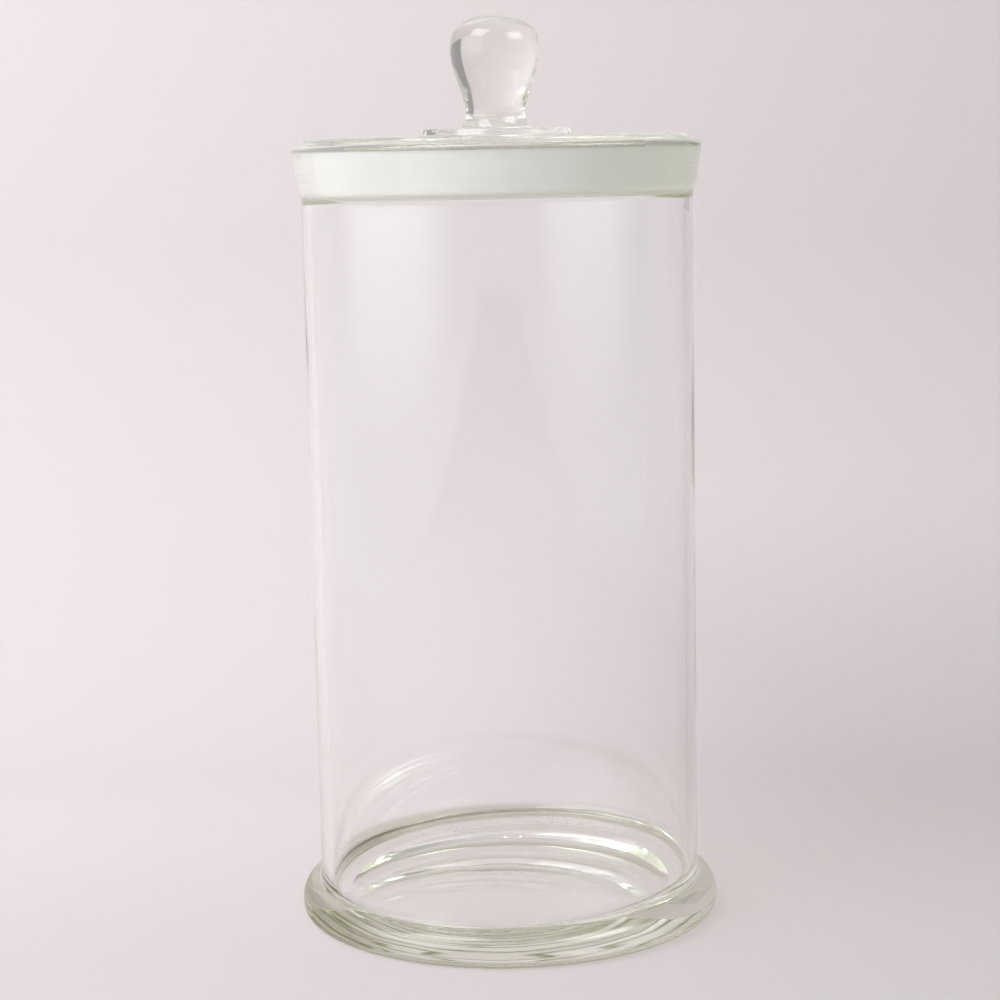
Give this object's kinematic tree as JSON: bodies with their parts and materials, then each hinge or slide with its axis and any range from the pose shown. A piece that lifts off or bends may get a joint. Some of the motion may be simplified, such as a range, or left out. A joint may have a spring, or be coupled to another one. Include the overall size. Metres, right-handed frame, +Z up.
{
  "type": "specimen jar",
  "caption": "Tall cylindrical clear-glass museum jar on a spreading foot, closed by a ground stopper lid that lifts off by a pear-shaped knob.",
  "frame": {"origin": "on the jar's axis, in the plane that the foot stands on", "axes": "+Z up along the jar's axis from the foot to the knob; X and Y are free, because the jar is round"},
  "size_m": [0.1648, 0.1648, 0.3497],
  "materials": {
    "clear_glass": "fire-polished clear soda-lime glass with a faint green tint in thick places and at edges",
    "ground_glass": "finely ground matt white seat on one face, fire-polished on the other"
  },
  "bodies": {
    "jar": {"jar_foot": "clear_glass", "jar_floor": "clear_glass", "jar_wall": "clear_glass", "jar_neck": "ground_glass"},
    "lid": {"lid_plug": "ground_glass", "lid_disc": "clear_glass", "knob_pad": "clear_glass", "knob": "clear_glass"}
  },
  "joints": [
    {"name": "lid_lift", "type": "slide", "parent": "jar", "child": "lid", "axis": [0, 0, 1], "range_m": [0, 0.12]}
  ]
}
